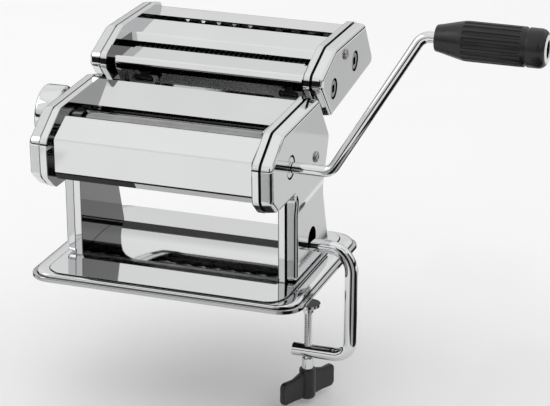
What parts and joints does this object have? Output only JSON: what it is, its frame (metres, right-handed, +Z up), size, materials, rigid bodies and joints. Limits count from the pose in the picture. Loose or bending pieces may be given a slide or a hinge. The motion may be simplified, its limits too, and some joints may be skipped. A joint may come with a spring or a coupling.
{
  "type": "pasta machine",
  "caption": "Hand-cranked pasta machine with smooth sheeting rollers, a thickness knob, a lift-off noodle cutter head, a stepped base and a screw clamp for a table edge.",
  "frame": {"origin": "middle of the base's footprint, on the plane of the table top", "axes": "+X along the rollers to the crank side, -Y to the front where the dough goes in, +Z up"},
  "size_m": [0.3913, 0.241, 0.315],
  "materials": {
    "pressed_chrome": "bright mirror chrome on pressed steel",
    "panel_chrome": "bright chrome on folded sheet",
    "roller_chrome": "ground and plated rollers",
    "rod_chrome": "plated round bar",
    "knob_chrome": "plated knob",
    "turned_steel": "turned and zinc plated",
    "spring_steel": "thin spring sheet",
    "gear_steel": "cut teeth, dull",
    "bronze": "sintered bearing bushes",
    "black_plastic": "black moulding with a soft gloss",
    "pale_plastic": "pale end ring"
  },
  "bodies": {
    "frame": {"base_plate": "pressed_chrome", "side_frame_left": "pressed_chrome", "side_frame_right": "pressed_chrome", "side_cover_left": "pressed_chrome", "side_cover_right": "pressed_chrome", "front_cover": "panel_chrome", "feed_chute": "panel_chrome", "back_panel": "panel_chrome", "dough_guides": "panel_chrome", "scraper_front": "spring_steel", "scraper_rear": "spring_steel", "tie_rods": "turned_steel", "frame_nuts": "turned_steel", "cover_screws": "turned_steel", "shaft_bushes": "bronze", "index_plate": "pressed_chrome", "cutter_rails": "pressed_chrome"},
    "front_roller": {"roller_front": "roller_chrome", "gear_front": "gear_steel", "drive_wheel": "gear_steel"},
    "drive": {"drive_pinion": "turned_steel"},
    "crank": {"crank_rod": "rod_chrome"},
    "grip": {"crank_grip": "black_plastic", "grip_ring": "pale_plastic"},
    "adjuster": {"eccentric_axle": "turned_steel"},
    "knob": {"adjuster_knob": "knob_chrome", "knob_pin": "turned_steel"},
    "bushes": {"rear_bushes": "bronze"},
    "rear_roller": {"roller_rear": "roller_chrome", "gear_rear": "gear_steel"},
    "cutter_head": {"cutter_frame_left": "pressed_chrome", "cutter_frame_right": "pressed_chrome", "cutter_cap_left": "pressed_chrome", "cutter_cap_right": "pressed_chrome", "cutter_front_panel": "panel_chrome", "cutter_roof": "panel_chrome", "cutter_rear_panel": "panel_chrome", "cutter_tie_rods": "turned_steel", "cutter_screws": "turned_steel", "cutter_hooks": "pressed_chrome", "comb_narrow_front": "spring_steel", "comb_narrow_rear": "spring_steel", "comb_wide_front": "spring_steel", "comb_wide_rear": "spring_steel", "cutter_posts": "turned_steel"},
    "narrow_driven": {"narrow_roller_driven": "roller_chrome", "narrow_gear_driven": "gear_steel", "narrow_drive_socket": "roller_chrome"},
    "narrow_idle": {"narrow_roller_idle": "roller_chrome", "narrow_gear_idle": "gear_steel"},
    "wide_driven": {"wide_roller_driven": "roller_chrome", "wide_gear_driven": "gear_steel", "wide_drive_socket": "roller_chrome"},
    "wide_idle": {"wide_roller_idle": "roller_chrome", "wide_gear_idle": "gear_steel"},
    "clamp": {"clamp_rod": "rod_chrome"},
    "pad": {"clamp_pad": "rod_chrome"},
    "screw": {"clamp_screw": "rod_chrome", "wing_handle": "black_plastic"}
  },
  "joints": [
    {"name": "roller_turn", "type": "hinge", "parent": "frame", "child": "front_roller", "pos_m": [0, -0.0355, 0.105], "axis": [1, 0, 0], "continuous": true},
    {"name": "crank_turn", "type": "hinge", "parent": "frame", "child": "drive", "pos_m": [0, -0.056, 0.104], "axis": [1, 0, 0], "continuous": true},
    {"name": "crank_pull", "type": "slide", "parent": "drive", "child": "crank", "axis": [1, 0, 0], "range_m": [0, 0.02]},
    {"name": "grip_spin", "type": "hinge", "parent": "crank", "child": "grip", "pos_m": [0.23, -0.03601, 0.20402], "axis": [1, 0, 0], "continuous": true},
    {"name": "adjuster_turn", "type": "hinge", "parent": "frame", "child": "adjuster", "pos_m": [0, -0.00191, 0.10446], "axis": [-1, 0, 0], "range_deg": [0, 135]},
    {"name": "knob_pull", "type": "slide", "parent": "adjuster", "child": "knob", "axis": [-1, 0, 0], "range_m": [0, 0.004], "stiffness_N_per_m": 1500, "springref_m": -0.002},
    {"name": "bush_turn", "type": "hinge", "parent": "adjuster", "child": "bushes", "pos_m": [0, -0.0032, 0.105], "axis": [-1, 0, 0], "range_deg": [-135, 0]},
    {"name": "rear_roller_turn", "type": "hinge", "parent": "bushes", "child": "rear_roller", "pos_m": [0, -0.0032, 0.105], "axis": [1, 0, 0], "continuous": true},
    {"name": "cutter_lift", "type": "slide", "parent": "frame", "child": "cutter_head", "axis": [0, -0.6, 0.8], "range_m": [0, 0.03]},
    {"name": "narrow_driven_turn", "type": "hinge", "parent": "cutter_head", "child": "narrow_driven", "pos_m": [0, 0.0426, 0.1335], "axis": [1, 0, 0], "continuous": true},
    {"name": "narrow_idle_turn", "type": "hinge", "parent": "cutter_head", "child": "narrow_idle", "pos_m": [0, 0.06243, 0.13611], "axis": [1, 0, 0], "continuous": true},
    {"name": "wide_driven_turn", "type": "hinge", "parent": "cutter_head", "child": "wide_driven", "pos_m": [0, 0.09475, 0.14037], "axis": [1, 0, 0], "continuous": true},
    {"name": "wide_idle_turn", "type": "hinge", "parent": "cutter_head", "child": "wide_idle", "pos_m": [0, 0.11458, 0.14298], "axis": [1, 0, 0], "continuous": true},
    {"name": "clamp_slide", "type": "slide", "parent": "frame", "child": "clamp", "axis": [1, 0, 0], "range_m": [0, 0.024]},
    {"name": "pad_travel", "type": "slide", "parent": "clamp", "child": "pad", "axis": [0, 0, 1], "range_m": [-0.024, 0]},
    {"name": "screw_turn", "type": "hinge", "parent": "pad", "child": "screw", "pos_m": [0.0905, -0.005, -0.05], "axis": [0, 0, 1], "range_deg": [-5760, 0]}
  ],
  "couplings": [
    {"joint": "crank_turn", "follows": "roller_turn", "ratio": -2.125},
    {"joint": "rear_roller_turn", "follows": "roller_turn", "ratio": -1},
    {"joint": "bush_turn", "follows": "adjuster_turn", "ratio": -1},
    {"joint": "narrow_idle_turn", "follows": "narrow_driven_turn", "ratio": -1},
    {"joint": "wide_idle_turn", "follows": "wide_driven_turn", "ratio": -1},
    {"joint": "screw_turn", "follows": "pad_travel", "rad_per_m": 4188.8}
  ]
}
